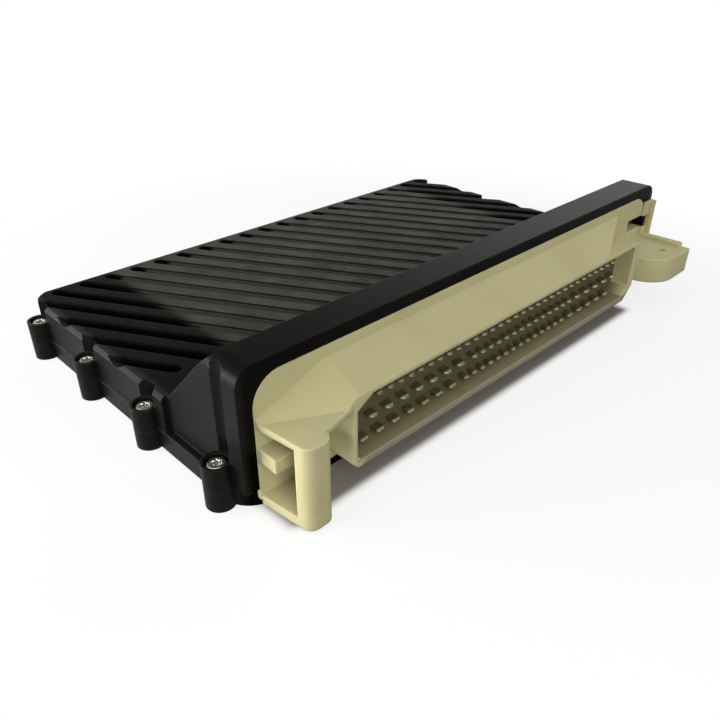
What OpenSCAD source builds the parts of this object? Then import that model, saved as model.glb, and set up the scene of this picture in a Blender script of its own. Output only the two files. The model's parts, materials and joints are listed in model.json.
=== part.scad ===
// Engine control unit: finned two-piece casting, wide plug header, pins and circuit board.
// Millimetres. +X runs along the plug, +Y points to the rear, +Z is up.
// The origin is the centre of the flat underside.

/* [Housing] */
// Width across the raised front frame
frame_width = 195; // [193:0.5:197]
// Depth of the casting from the front face to the rear wall
body_depth = 118.2; // [117.6:0.2:119.6]
// Height of the raised front frame above the underside
frame_height = 40.5; // [40:0.25:41.5]
// Front to back length of the flat top of the frame
frame_depth = 10.8; // [10.4:0.2:11.2]
// Outer corner radius of the frame
frame_radius = 5; // [4.6:0.2:5.4]
// Corner radius of the opening for the header
seat_radius = 8.5; // [8:0.25:9]
// Width of the black rim beside the header, seen from the front
side_rim = 4.1; // [4:0.05:4.3]
// Width of the black rim above the header, seen from the front
frame_rim = 3.5; // [3.3:0.1:3.7]
// Distance the side walls stand out beside the frame
wall_proud = 0.8; // [0.6:0.1:1]
// Height of the finned top plate
plate_height = 18.2; // [18:0.1:18.6]
// Height of the joint between the upper and the lower casting
seam_height = 5.9; // [5.8:0.1:6]
// Thickness of the side and rear walls
wall_thickness = 4; // [3.9:0.1:4.1]
// Thickness of the floor of the lower casting
floor_thickness = 2; // [1.9:0.05:2.1]
// Plan radius of the rear corners
corner_radius = 9.5; // [9:0.25:10]
// Chamfer of the long top edges of the plate
edge_chamfer = 1.2; // [1:0.1:1.4]
// Chamfer of the rear top edge
rear_chamfer = 0.9; // [0.6:0.1:1.2]
// Overhang of the drip lip above the joint
lip_overhang = 0.5; // [0.4:0.1:0.7]
// Height of the drip lip above the joint
lip_height = 1.2; // [1:0.1:1.5]
// Thickness of the casting under the slope behind the frame
slope_thickness = 3; // [2.8:0.1:3.2]

/* [Cooling grooves] */
// Spacing of the grooves, square to their length
groove_pitch = 8.3; // [8.2:0.05:8.4]
// Width of each groove
groove_width = 4.4; // [4:0.1:4.6]
// Angle between the grooves and the front face
groove_angle = 60; // [59:0.5:61]
// Depth of the grooves over the board
shallow_depth = 1.2; // [1.1:0.1:1.4]
// Depth of the grooves near the side walls and at the rear ends
deep_depth = 4.4; // [4.2:0.1:4.6]
// Depth of an open groove at the edge of the plate
exit_depth = 1.4; // [1.2:0.1:1.6]
// Length over which the floor of an open groove rises to the edge
ramp_length = 11; // [10:0.5:12]
// Distance from the rear wall to the rear end of the grooves
groove_margin = 4.5; // [4.3:0.1:4.9]
// Distance from the front face to the front end of the grooves
groove_front = 38.5; // [38:0.5:39.5]
// Left edge of the shallow island
island_left = -71; // [-72:0.5:-70]
// Right edge of the shallow island
island_right = 78; // [77:0.5:79]
// Front end of the short left groove
short_groove_front = 44; // [43:0.5:45]

/* [Case bosses and screws] */
// Sideways distance of the boss axes from the side wall
boss_proud = 1; // [0.8:0.1:1.2]
// Outer diameter of a boss
boss_diameter = 7.9; // [7.7:0.1:8.1]
// Height of the boss top above the underside
boss_height = 13; // [12.8:0.1:13.2]
// Distance from the front face to the first boss
boss_first = 8.5; // [8.3:0.1:8.7]
// Distance from the rear wall to the last boss
boss_rear = 8.9; // [8.6:0.1:9.2]
// Diameter of the clear channel above a boss
driver_channel = 7.2; // [7:0.1:7.4]
// Thread diameter of a case screw
case_screw = 3; // [2.9:0.05:3.1]
// Head diameter of a case screw
case_head = 5.2; // [5.1:0.1:5.4]
// Head height of a case screw
case_head_height = 2; // [1.8:0.1:2.1]
// Diameter of the counterbore round a head
case_counterbore = 6; // [5.9:0.1:6.2]
// Depth of the counterbore
case_counterbore_depth = 2.6; // [2.4:0.1:2.7]
// Width across flats of the drive recess
case_drive = 2.4; // [2.2:0.1:2.6]
// Height of the screw tip above the underside
case_screw_tip = 1.5; // [1.4:0.1:1.7]

/* [Header] */
// Thickness of the header flange
flange_thickness = 4; // [3.9:0.1:4.1]
// Height of the lower edge of the flange
flange_bottom = 2.3; // [2.3:0.05:2.4]
// Left outer face of the plug shroud
shroud_left = -71.8; // [-72.1:0.1:-71.5]
// Right outer face of the plug shroud
shroud_right = 71; // [70.7:0.1:71.3]
// Lower outer face of the plug shroud
shroud_bottom = 5.3; // [5.1:0.1:5.5]
// Upper outer face of the plug shroud
shroud_top = 27; // [26.8:0.1:27]
// Thickness of the left wall of the plug shroud
shroud_left_wall = 1.2; // [1.1:0.05:1.3]
// Thickness of the right wall of the plug shroud
shroud_right_wall = 3; // [2.8:0.1:3.2]
// Thickness of the lower wall of the plug shroud
shroud_lower_wall = 2.1; // [2:0.05:2.2]
// Thickness of the upper wall of the plug shroud
shroud_upper_wall = 1.2; // [1.1:0.05:1.3]
// Distance the shroud stands out from the frame
shroud_reach = 10.5; // [10.3:0.1:10.7]
// Depth of the plug socket
socket_depth = 6.7; // [6.5:0.1:6.9]
// Height at which the slanted roof leaves the flange
roof_rise = 34; // [33.8:0.1:34.4]
// Height of the roof at its front edge
roof_lip = 27; // [26.9:0.1:27.1]
// Distance the hook stands out from the frame
hook_reach = 16.2; // [15.9:0.1:16.5]
// Width of the hook post
hook_width = 8.4; // [8.2:0.1:8.8]
// Thickness of the hook post
hook_post = 4.2; // [4:0.1:4.4]
// Distance the latch lug stands out from the frame
lug_reach = 20.2; // [19.8:0.1:20.6]
// Upper face of the latch lug
lug_top = 21; // [20.8:0.1:21.2]
// Lower face of the latch lug
lug_bottom = 12.2; // [12:0.1:12.4]
// Length of the latch window, which opens to the edge of the flange
window_length = 12.4; // [12.2:0.1:12.6]
// Height of the latch window
window_height = 4.6; // [4.5:0.1:4.8]

/* [Pins] */
// Width of a signal blade
signal_width = 1.6; // [1.5:0.1:1.7]
// Width of a power blade
power_width = 2.8; // [2.6:0.1:2.9]
// Thickness of the blades
blade_thickness = 0.8; // [0.7:0.05:0.9]
// Spacing of the signal blades
signal_pitch = 4; // [3.95:0.05:4.05]
// Spacing of the power blades
power_pitch = 6; // [5.95:0.05:6.05]
// Height of the lowest row of blades
row_bottom = 8.9; // [8.8:0.1:9.1]
// Spacing of the rows of blades
row_pitch = 5.95; // [5.85:0.05:6.05]
// Length of blade that stands in the socket
blade_reach = 3.3; // [3.1:0.1:3.5]

/* [Circuit board] */
// Gap between the board and the side walls
board_side_gap = 5.3; // [4.9:0.1:5.8]
// Distance from the front face to the front edge of the board
board_front = 10; // [9.8:0.1:10.2]
// Gap between the rear wall face and the rear edge of the board
board_rear_gap = 6.2; // [6:0.1:7]
// Height of the underside of the board
board_height = 5.2; // [5.15:0.05:5.25]
// Thickness of the board
board_thickness = 1.6; // [1.5:0.05:1.65]
// Diameter of a stand-off under the board
standoff_diameter = 6; // [5.6:0.2:6.4]
// Thread diameter of a board screw
board_screw = 2.5; // [2.4:0.1:2.6]
// Head diameter of a board screw
board_head = 4.6; // [4.4:0.1:4.8]
// Clearance between parts that only slide together
fit_clearance = 0.15; // [0.1:0.05:0.2]

/* [Hidden] */
$fn = 48;

front_y = -body_depth / 2;
frame_half = frame_width / 2;
wall_half = frame_half + wall_proud;
cavity_half = wall_half - wall_thickness;
board_width = 2 * (cavity_half - board_side_gap);
board_rear = body_depth - board_rear_gap;
far = 400;
boss_offset = wall_half + boss_proud;
boss_spacing = (body_depth - boss_first - boss_rear) / 3;

// Slope behind the frame: it falls at 45 degrees from the frame top to the plate
slope_foot = frame_depth + frame_height - plate_height;
frame_overlap = 1;
slope_drop = 0.3;
gusset_half = frame_half - 0.8;
plate_front = slope_foot + 1;
gusset_rear = slope_foot + 3;
slope_sum = frame_depth + frame_height - slope_thickness * sqrt(2);

// Opening of the frame: a wide recess for the flange, a narrower throat behind it
seat_half = frame_half - side_rim;
seat_top = frame_height - frame_rim;
seal_thickness = 1;
seat_depth = flange_thickness + seal_thickness;
throat_step = 1.4;
throat_half = seat_half - throat_step;
throat_top = seat_top - throat_step;

// Ceilings of the inner space
roof_web = 2.2;
high_ceiling = plate_height - shallow_depth - roof_web;
low_ceiling = plate_height - deep_depth - roof_web;
island_margin = 3;

// Grooves
groove_step = groove_pitch / sin(groove_angle);
groove_rear = body_depth - groove_margin;
groove_origin = -3.6;
first_groove = -4;
last_groove = 19;
middle_groove = 9;
groove_shoulder = 0.15;
rear_pocket = 0.7;
open_x = wall_half + 5;
plate_edge = wall_half - edge_chamfer;
deep_start = (ramp_length + groove_width / 2) * cos(groove_angle);
shallow_start = (ramp_length * (shallow_depth - exit_depth) / (deep_depth - exit_depth) + groove_width / 2)
                * cos(groove_angle);

// Header
pin_wall_rear = 8;
roof_slope = (roof_rise - roof_lip) / shroud_reach;
hip_corner = -72.4;
hip_side = 0.36;
hip_fall = 0.709;
hook_left = 0.4 - seat_half;
hook_inset = 1.4;
post_left = hook_left + hook_inset;
post_right = post_left + hook_width;
hook_rise = 25.3;
hook_slope = 0.02;
hook_under = 23.5;
hook_floor = 1;
roof_end_back = 71.7;
roof_end_front = 48.5;
key_chamfer_x = 5.4;
key_chamfer_z = 3.2;
corner_chamfer = 5;
post_radius = 3;
hook_plate = 2.6;
ledge_depth = 6.6;
ledge_bottom = 14;
ledge_top = 18;
ledge_right = -81.5;
lug_right = seat_half - 0.2;
lug_left = 70.8;
lug_radius = 11;
rail_height = 1.6;
rail_width = 2;
rail_reach = 17;
rib_reach = 2.4;
rib_top = 34.5;
rib_width = 2;
window_left = 81.6;
window_bottom = 24.6;
cover_left = 91.2;
cover_right = frame_half - 0.5;
cover_thickness = 1.2;
// Joint of cover and flange, clear of the rounded corner of the seat
joint_right = seat_half - 1;
joint_top = frame_height - frame_rim - seat_radius + 3.2;
dimple_diameter = 2.6;
dimple_depth = 3;
dimple_x = 84.7;
dimple_y = 13.2;
ear_x = board_width / 2 - 5;
ear_width = 8;
ear_rear = 17;
ear_top = 11.5;
ear_screw_y = 13.2;

// Pins: rows from the bottom up, first blade of each row, length of the tail run
power_left_count = 7;
power_right_count = 5;
signal_count = 14;
top_count = 31;
top_first = -58.8;
middle_first = -60.9;
bottom_first = -64.2;
group_gap = 6.3;
right_gap = 5.6;
row_middle = row_bottom + row_pitch;
row_top = row_bottom + 2 * row_pitch;
tail_bottom = 12.4;
tail_middle = 16.2;
tail_top = 20;
tail_end = 3.8;
hole_clearance = 0.05;
tip_length = 1.1;
tip_flat = 0.15;
tip_share = 0.45;

// Board
board_top = board_height + board_thickness;
board_radius = 3;
standoff_x = board_width / 2 - 6;
standoff_y = [board_front + 18, board_front + 56.5, board_rear - 7];
board_screw_tip = 2.3;
board_head_height = 1.6;
hole_margin = 0.3;

// Rubber parts
groove_in = 1.3;
seal_width = 1.5;
seal_height = 1.1;
seal_front = 5.6;

// 2D outline with two rounded upper corners, seen from the front
module arch(half, top, radius, bottom) {
  translate([-half, bottom]) square([2 * half, top - radius - bottom]);
  translate([-half + radius, bottom]) square([2 * half - 2 * radius, top - bottom]);
  for (side = [-1, 1])
    translate([side * (half - radius), top - radius]) circle(r = radius);
}

// 2D plan with rounded rear corners
module plan(half, front, rear, radius) {
  translate([-half, front]) square([2 * half, rear - radius - front]);
  translate([-half + radius, front]) square([2 * half - 2 * radius, rear - front]);
  for (side = [-1, 1])
    translate([side * (half - radius), rear - radius]) circle(r = radius);
}

// 2D plan with four rounded corners
module rounded_plan(half, front, rear, radius) {
  translate([-half, front + radius]) square([2 * half, rear - front - 2 * radius]);
  translate([-half + radius, front]) square([2 * half - 2 * radius, rear - front]);
  for (side = [-1, 1])
    for (y = [front + radius, rear - radius])
      translate([side * (half - radius), y]) circle(r = radius);
}

// Extrudes a front view from y = from to y = to
module along_y(from, to) {
  translate([0, to, 0]) rotate([90, 0, 0]) linear_extrude(to - from) children();
}

// Extrudes a side view from x = from to x = to
module along_x(from, to) {
  translate([from, 0, 0]) rotate([90, 0, 90]) linear_extrude(to - from) children();
}

// Everything below the plane through point that rises by rise_x and rise_y
module below_plane(point, rise_x, rise_y) {
  steep = sqrt(1 + rise_x * rise_x + rise_y * rise_y);
  translate(point) rotate([asin(rise_y / steep), atan(-rise_x), 0])
    translate([-far / 2, -far / 2, -far]) cube([far, far, far]);
}

module at_bosses() {
  for (side = [-1, 1])
    for (i = [0:3])
      translate([side * boss_offset, boss_first + i * boss_spacing, 0]) children();
}

// Cooling grooves
function rear_x(k) = groove_origin + (k - middle_groove) * groove_step;
function groove_y(k, x) = groove_rear - (x - rear_x(k)) * tan(groove_angle);
function groove_x(k, y) = rear_x(k) + (groove_rear - y) / tan(groove_angle);
function open_left(k) = rear_x(k) < -plate_edge;
function begin_x(k) = open_left(k) ? -plate_edge + shallow_start : rear_x(k);
function front_limit(k) = k == first_groove ? short_groove_front : groove_front;
function open_right(k) = groove_x(k, groove_front) > plate_edge;
function corner_groove(k) = rear_x(k) > plate_edge - deep_start;
function finish_x(k) = corner_groove(k) ? open_x
                     : open_right(k) ? plate_edge - shallow_start : groove_x(k, front_limit(k));

// One straight slot along groove k between two x positions, with round ends
module slot(k, from, to, depth, width) {
  run = (to - from) / cos(groove_angle);
  translate([from, groove_y(k, from), plate_height - depth]) rotate(-groove_angle)
    linear_extrude(depth + 1) {
      translate([0, -width / 2]) square([run, width]);
      circle(d = width);
      translate([run, 0]) circle(d = width);
    }
}

// Floor that rises from the depth of groove k to the edge of the plate
module run_out(k, side) {
  rise = (deep_depth - exit_depth) / ramp_length;
  width = groove_width - 4 * groove_shoulder;
  flat = ramp_length + groove_width;
  translate([side * plate_edge, groove_y(k, side * plate_edge), plate_height]) rotate(-groove_angle)
    rotate([90, 0, 0]) translate([0, 0, -width / 2]) linear_extrude(width)
      polygon([[side * 8, 2], [side * 8, rise * 8 - exit_depth], [0, -exit_depth],
               [-side * ramp_length, -deep_depth], [-side * flat, -deep_depth], [-side * flat, 2]]);
}

// A groove is shallow over the board and deeper near the side walls and at its rear end
module groove(k) {
  deep_width = groove_width - 2 * groove_shoulder;
  slot(k, begin_x(k), finish_x(k), shallow_depth, groove_width);
  left_start = open_left(k) ? -plate_edge + deep_start : rear_x(k);
  left_end = min(island_left, groove_x(k, front_limit(k)));
  if (left_end > left_start) slot(k, left_start, left_end, deep_depth, deep_width);
  else if (rear_x(k) < island_right) slot(k, rear_x(k), rear_x(k) + rear_pocket, deep_depth, deep_width);
  right_start = max(rear_x(k), island_right);
  right_end = min(plate_edge - deep_start, groove_x(k, groove_front));
  if (right_end > right_start) slot(k, right_start, right_end, deep_depth, deep_width);
  if (open_left(k)) run_out(k, -1);
  if (open_right(k) && !corner_groove(k)) run_out(k, 1);
}

// Upper casting: finned plate, slope and raised frame in one piece
module upper_outside() {
  intersection() {
    translate([0, 0, seam_height]) linear_extrude(frame_height)
      plan(wall_half, plate_front, body_depth, corner_radius);
    along_y(0, body_depth)
      polygon([[-wall_half, seam_height], [wall_half, seam_height], [wall_half, plate_height - edge_chamfer],
               [wall_half - edge_chamfer, plate_height], [edge_chamfer - wall_half, plate_height],
               [-wall_half, plate_height - edge_chamfer]]);
    along_x(-far / 2, far / 2)
      polygon([[0, seam_height], [0, plate_height], [body_depth - rear_chamfer, plate_height],
               [body_depth, plate_height - rear_chamfer], [body_depth, seam_height]]);
  }
  intersection() {
    along_y(frame_depth - frame_overlap, gusset_rear)
      arch(gusset_half, frame_height - slope_drop, frame_radius, seam_height);
    along_x(-far / 2, far / 2)
      polygon([[0, seam_height], [0, frame_height], [frame_depth, frame_height],
               [slope_foot, plate_height], [gusset_rear, plate_height], [gusset_rear, seam_height]]);
  }
  along_y(0, frame_depth) arch(frame_half, frame_height, frame_radius, seam_height);
  translate([0, 0, seam_height]) linear_extrude(lip_height)
    plan(wall_half + lip_overhang, frame_depth, body_depth + lip_overhang, corner_radius);
  at_bosses() translate([0, 0, seam_height]) cylinder(d = boss_diameter, h = boss_height - seam_height);
}

module upper_inside() {
  translate([0, 0, seam_height - 1]) linear_extrude(low_ceiling - seam_height + 1)
    plan(cavity_half, seat_depth, body_depth - wall_thickness, corner_radius - 3);
  translate([0, 0, seam_height - 1]) linear_extrude(high_ceiling - seam_height + 1)
    translate([island_left + island_margin, seat_depth])
      square([island_right - island_left - 2 * island_margin, groove_rear - groove_width - 1 - seat_depth]);
  along_y(-1, seat_depth) arch(seat_half, seat_top, seat_radius, -1);
  intersection() {
    along_y(0, slope_foot) arch(throat_half, throat_top, seat_radius - throat_step, -1);
    along_x(-far / 2, far / 2)
      polygon([[0, -2], [0, throat_top], [slope_sum - throat_top, throat_top],
               [slope_sum - high_ceiling, high_ceiling], [slope_foot, high_ceiling], [slope_foot, -2]]);
  }
}

module upper_housing() {
  color([0.09, 0.09, 0.09]) translate([0, front_y, 0])
    difference() {
      upper_outside();
      upper_inside();
      at_bosses() translate([0, 0, boss_height]) cylinder(d = driver_channel, h = frame_height);
      at_bosses() translate([0, 0, boss_height - case_counterbore_depth])
        cylinder(d = case_counterbore, h = frame_height);
      at_bosses() cylinder(d = case_screw + 2 * fit_clearance, h = frame_height);
      for (k = [first_groove:last_groove]) groove(k);
    }
}

// Lower casting: shallow tray with the second half of each boss
module lower_housing() {
  color([0.1, 0.1, 0.1]) translate([0, front_y, 0])
    difference() {
      union() {
        difference() {
          linear_extrude(seam_height) rounded_plan(wall_half, 0, body_depth, corner_radius);
          translate([0, 0, floor_thickness]) linear_extrude(seam_height)
            plan(cavity_half, seat_depth + wall_thickness - 1, body_depth - wall_thickness, corner_radius - 3);
          translate([-seat_half, -1, floor_thickness]) cube([2 * seat_half, seat_depth + 1, seam_height]);
        }
        at_bosses() cylinder(d = boss_diameter, h = seam_height);
        for (side = [-1, 1])
          for (y = standoff_y)
            translate([side * standoff_x, y, 0]) cylinder(d = standoff_diameter, h = board_height);
      }
      at_bosses() translate([0, 0, case_screw_tip - 0.5])
        cylinder(d = case_screw + 2 * hole_clearance, h = seam_height);
      for (side = [-1, 1])
        for (y = standoff_y)
          translate([side * standoff_x, y, board_screw_tip - 0.3])
            cylinder(d = board_screw + 2 * hole_clearance, h = seam_height);
      seal_ring(seal_width + 2 * hole_clearance, seam_height - seal_height, seal_height + 1);
    }
}

// Closed ring that follows the joint
module seal_ring(width, bottom, height) {
  outer = wall_half - groove_in;
  spare = (width - seal_width) / 2;
  translate([0, 0, bottom]) linear_extrude(height)
    difference() {
      rounded_plan(outer + spare, seal_front - spare, body_depth - groove_in + spare, corner_radius - groove_in);
      rounded_plan(outer - width + spare, seal_front + width - spare, body_depth - groove_in - width + spare,
                   corner_radius - groove_in - width);
    }
}

module housing_seal() {
  color([0.05, 0.05, 0.06]) translate([0, front_y, 0])
    seal_ring(seal_width, seam_height - seal_height, seal_height);
}

// Eight pan-head screws that hold the two castings together
module case_screws() {
  color([0.7, 0.71, 0.72]) translate([0, front_y, 0])
    at_bosses() {
      seat = boss_height - case_counterbore_depth;
      difference() {
        translate([0, 0, seat]) cylinder(d = case_head, h = case_head_height);
        translate([0, 0, seat + case_head_height - 1.2])
          cylinder(d = case_drive / cos(30), h = 2, $fn = 6);
      }
      translate([0, 0, case_screw_tip]) cylinder(d = case_screw, h = seat - case_screw_tip + 0.2);
    }
}

// 2D front view of a keyed rectangle: one wide bevel at the lower right, one at the upper left
module keyed_outline(left, right, low, high, bevel) {
  polygon([[left, low + 1.5], [left + 1.5, low], [right - bevel, low], [right, low + bevel],
           [right, high - 1.2], [right - 1.2, high],
           [left + key_chamfer_x, high], [left, high - key_chamfer_z]]);
}

module shroud_outside() {
  keyed_outline(shroud_left, shroud_right, shroud_bottom, shroud_top, corner_chamfer);
}

module shroud_inside() {
  keyed_outline(shroud_left + shroud_left_wall, shroud_right - shroud_right_wall,
                shroud_bottom + shroud_lower_wall, shroud_top - shroud_upper_wall, corner_chamfer - 1.2);
}

// 2D plan of the hook head with two rounded front corners
module hook_plan(back) {
  polygon([[hook_left, back], [post_left, post_radius - hook_reach], [post_right, post_radius - hook_reach],
           [post_right, back]]);
  translate([post_left + post_radius, -hook_reach]) square([hook_width - 2 * post_radius, hook_reach + back]);
  for (x = [post_left + post_radius, post_right - post_radius])
    translate([x, post_radius - hook_reach]) circle(r = post_radius);
}

// Slanted roof, left hip and the top of the hook
module roof_mass() {
  intersection() {
    translate([0, 0, hook_under]) linear_extrude(20) {
      hook_plan(0);
      polygon([[post_left + post_radius, 0], [post_left + post_radius, post_radius - hook_reach],
               [post_right, post_radius - hook_reach], [shroud_left, -shroud_reach],
               [roof_end_front, -shroud_reach], [roof_end_back, 0]]);
    }
    union() {
      intersection() {
        below_plane([0, 0, roof_rise], 0, roof_slope);
        below_plane([hip_corner, 0, roof_rise - 0.4], hip_side, hip_fall);
      }
      below_plane([0, 0, hook_rise], 0, hook_slope);
    }
  }
}

// Tall post with rounded front edges, lower plate and inner ledge of the hook
module hook() {
  translate([0, 0, hook_floor]) linear_extrude(hook_under + 1 - hook_floor)
    intersection() {
      hook_plan(0);
      translate([hook_left - 1, -hook_reach - 1]) square([hook_width + hook_inset + 2, hook_post + 1]);
    }
  translate([0, 0, hook_floor]) linear_extrude(hook_plate) hook_plan(-fit_clearance);
  translate([hook_left, -fit_clearance - 0.5, flange_bottom])
    cube([hook_width, 1.5, hook_floor + hook_plate - flange_bottom]);
  translate([hook_left, -ledge_depth, ledge_bottom])
    cube([ledge_right - hook_left, ledge_depth + 1, ledge_top - ledge_bottom]);
}

// Latch lug with its rail and the upright rib at the right edge
module lug() {
  translate([0, 0, lug_bottom]) linear_extrude(lug_top - lug_bottom) {
    translate([lug_left, -lug_reach + lug_radius]) square([lug_right - lug_left, lug_reach - lug_radius]);
    translate([lug_left + lug_radius, -lug_reach]) square([lug_right - lug_left - lug_radius, lug_radius + 1]);
    translate([lug_left + lug_radius, -lug_reach + lug_radius]) circle(r = lug_radius);
  }
  translate([lug_right - rail_width, -rail_reach, lug_top - 1])
    cube([rail_width, rail_reach, rail_height + 1]);
  difference() {
    union() {
      translate([cover_left, -cover_thickness, lug_top - 1])
        cube([cover_right - cover_left, cover_thickness - fit_clearance, rib_top - lug_top + 1]);
      translate([cover_left, -fit_clearance - 0.5, lug_top - 1])
        cube([joint_right - cover_left, 1.5, joint_top - lug_top + 1]);
      translate([cover_right - rib_width, -rib_reach, lug_top - 1])
        cube([rib_width, rib_reach - fit_clearance, rib_top - lug_top + 1]);
    }
    translate([window_left, -rib_reach - 1, window_bottom])
      cube([cover_right - rib_width - window_left, rib_reach + 1 - fit_clearance / 2, window_height]);
  }
}

// Calls its children once for every blade of a run
module run(first, count, pitch) {
  for (i = [0:count - 1]) translate([first + i * pitch, 0, 0]) children();
}

function signal_first(first) = first + (power_left_count - 1) * power_pitch + group_gap;
function right_first(first) = signal_first(first) + (signal_count - 1) * signal_pitch + right_gap;

module power_run(first) {
  run(first, power_left_count, power_pitch) children();
  run(right_first(first), power_right_count, power_pitch) children();
}

// Bent blade with a tip that tapers to all sides, at a given row height and tail position
module blade(width, height, tail) {
  half = blade_thickness / 2;
  tip = -shroud_reach + socket_depth - blade_reach;
  nose = width * tip_share / 2;
  intersection() {
    along_x(-width / 2, width / 2)
      polygon([[tip, height - tip_flat], [tip + tip_length, height - half], [tail - half, height - half],
               [tail - half, tail_end], [tail + half, tail_end], [tail + half, height + half],
               [tip + tip_length, height + half], [tip, height + tip_flat]]);
    linear_extrude(2 * frame_height)
      polygon([[-width / 2, tail + 1], [-width / 2, tip + tip_length], [-nose, tip],
               [nose, tip], [width / 2, tip + tip_length], [width / 2, tail + 1]]);
  }
}

// Straight hole for a blade through the header
module blade_hole(width, height) {
  wide = width + 2 * hole_clearance;
  thick = blade_thickness + 2 * hole_clearance;
  translate([-wide / 2, -shroud_reach, height - thick / 2]) cube([wide, shroud_reach + pin_wall_rear + 1, thick]);
}

module header_holes() {
  run(top_first, top_count, signal_pitch) blade_hole(signal_width, row_top);
  run(signal_first(middle_first), signal_count, signal_pitch) blade_hole(signal_width, row_middle);
  run(signal_first(bottom_first), signal_count, signal_pitch) blade_hole(signal_width, row_bottom);
  power_run(middle_first) blade_hole(power_width, row_middle);
  power_run(bottom_first) blade_hole(power_width, row_bottom);
}

module header_body() {
  color([0.8, 0.76, 0.6]) translate([0, front_y, 0])
    difference() {
      union() {
        along_y(0, flange_thickness)
          arch(seat_half - fit_clearance, seat_top - fit_clearance, seat_radius - fit_clearance, flange_bottom);
        along_y(-shroud_reach, 1) shroud_outside();
        translate([shroud_left, 1, board_top + 0.6])
          cube([shroud_right - shroud_left, pin_wall_rear - 1, shroud_top - board_top - 0.6]);
        roof_mass();
        hook();
        lug();
        for (side = [-1, 1])
          translate([side * ear_x - ear_width / 2, 1, board_top]) cube([ear_width, ear_rear - 1, ear_top - board_top]);
      }
      along_y(-shroud_reach - 1, -shroud_reach + socket_depth) shroud_inside();
      header_holes();
      translate([window_left, -1, window_bottom]) cube([window_length, flange_thickness + 2, window_height]);
      translate([dimple_x, -dimple_y, lug_top - dimple_depth])
        cylinder(d = dimple_diameter, h = dimple_depth + 1);
      for (side = [-1, 1])
        translate([side * ear_x, ear_screw_y, board_top - 1])
          cylinder(d = board_screw + 2 * hole_clearance, h = 4.2);
    }
}

// Flat rubber ring between the flange and the seat in the frame
module header_seal() {
  color([0.05, 0.05, 0.06]) translate([0, front_y, 0])
    along_y(flange_thickness, seat_depth)
      difference() {
        arch(seat_half - fit_clearance, seat_top - fit_clearance, seat_radius - fit_clearance, flange_bottom);
        arch(throat_half + 0.3, throat_top + 0.3, seat_radius - throat_step + 0.3, flange_bottom + 2);
      }
}

module signal_pins_top() {
  color([0.83, 0.8, 0.68]) translate([0, front_y, 0])
    run(top_first, top_count, signal_pitch) blade(signal_width, row_top, tail_top);
}

module signal_pins_middle() {
  color([0.83, 0.8, 0.68]) translate([0, front_y, 0])
    run(signal_first(middle_first), signal_count, signal_pitch) blade(signal_width, row_middle, tail_middle);
}

module signal_pins_bottom() {
  color([0.83, 0.8, 0.68]) translate([0, front_y, 0])
    run(signal_first(bottom_first), signal_count, signal_pitch) blade(signal_width, row_bottom, tail_bottom);
}

module power_pins_middle() {
  color([0.83, 0.8, 0.68]) translate([0, front_y, 0])
    power_run(middle_first) blade(power_width, row_middle, tail_middle);
}

module power_pins_bottom() {
  color([0.83, 0.8, 0.68]) translate([0, front_y, 0])
    power_run(bottom_first) blade(power_width, row_bottom, tail_bottom);
}

// Two screws that pull the header ears down on the board from below
module header_screws() {
  color([0.7, 0.71, 0.72]) translate([0, front_y, 0])
    for (side = [-1, 1])
      translate([side * ear_x, ear_screw_y, 0]) {
        translate([0, 0, board_height - board_head_height]) cylinder(d = board_head, h = board_head_height);
        translate([0, 0, board_height - 0.2]) cylinder(d = board_screw, h = board_thickness + 3);
      }
}

// Slots for the blade tails
module tail_slots() {
  thick = blade_thickness + 2 * hole_clearance;
  small = signal_width + 2 * hole_clearance;
  large = power_width + 2 * hole_clearance;
  deep = board_thickness + 2;
  run(top_first, top_count, signal_pitch)
    translate([-small / 2, tail_top - thick / 2, board_height - 1]) cube([small, thick, deep]);
  run(signal_first(middle_first), signal_count, signal_pitch)
    translate([-small / 2, tail_middle - thick / 2, board_height - 1]) cube([small, thick, deep]);
  run(signal_first(bottom_first), signal_count, signal_pitch)
    translate([-small / 2, tail_bottom - thick / 2, board_height - 1]) cube([small, thick, deep]);
  power_run(middle_first)
    translate([-large / 2, tail_middle - thick / 2, board_height - 1]) cube([large, thick, deep]);
  power_run(bottom_first)
    translate([-large / 2, tail_bottom - thick / 2, board_height - 1]) cube([large, thick, deep]);
}

module circuit_board() {
  color([0.05, 0.3, 0.16]) translate([0, front_y, 0])
    difference() {
      translate([0, 0, board_height]) linear_extrude(board_thickness)
        rounded_plan(board_width / 2, board_front, board_rear, board_radius);
      tail_slots();
      for (side = [-1, 1]) {
        for (y = standoff_y)
          translate([side * standoff_x, y, 0]) cylinder(d = board_screw + 2 * hole_margin, h = 20);
        translate([side * ear_x, ear_screw_y, 0]) cylinder(d = board_screw + 2 * hole_margin, h = 20);
      }
    }
}

module board_screws() {
  color([0.7, 0.71, 0.72]) translate([0, front_y, 0])
    for (side = [-1, 1])
      for (y = standoff_y)
        translate([side * standoff_x, y, 0]) {
          translate([0, 0, board_top]) cylinder(d = board_head, h = board_head_height);
          translate([0, 0, board_screw_tip]) cylinder(d = board_screw, h = board_top - board_screw_tip + 0.2);
        }
}

// Soft pads that carry heat from the board to the floor
module heat_pads() {
  color([0.55, 0.6, 0.66]) translate([0, front_y, 0])
    for (x = [-44, 44])
      translate([x - 16, 32, floor_thickness]) cube([32, 22, board_height - floor_thickness]);
}

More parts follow.
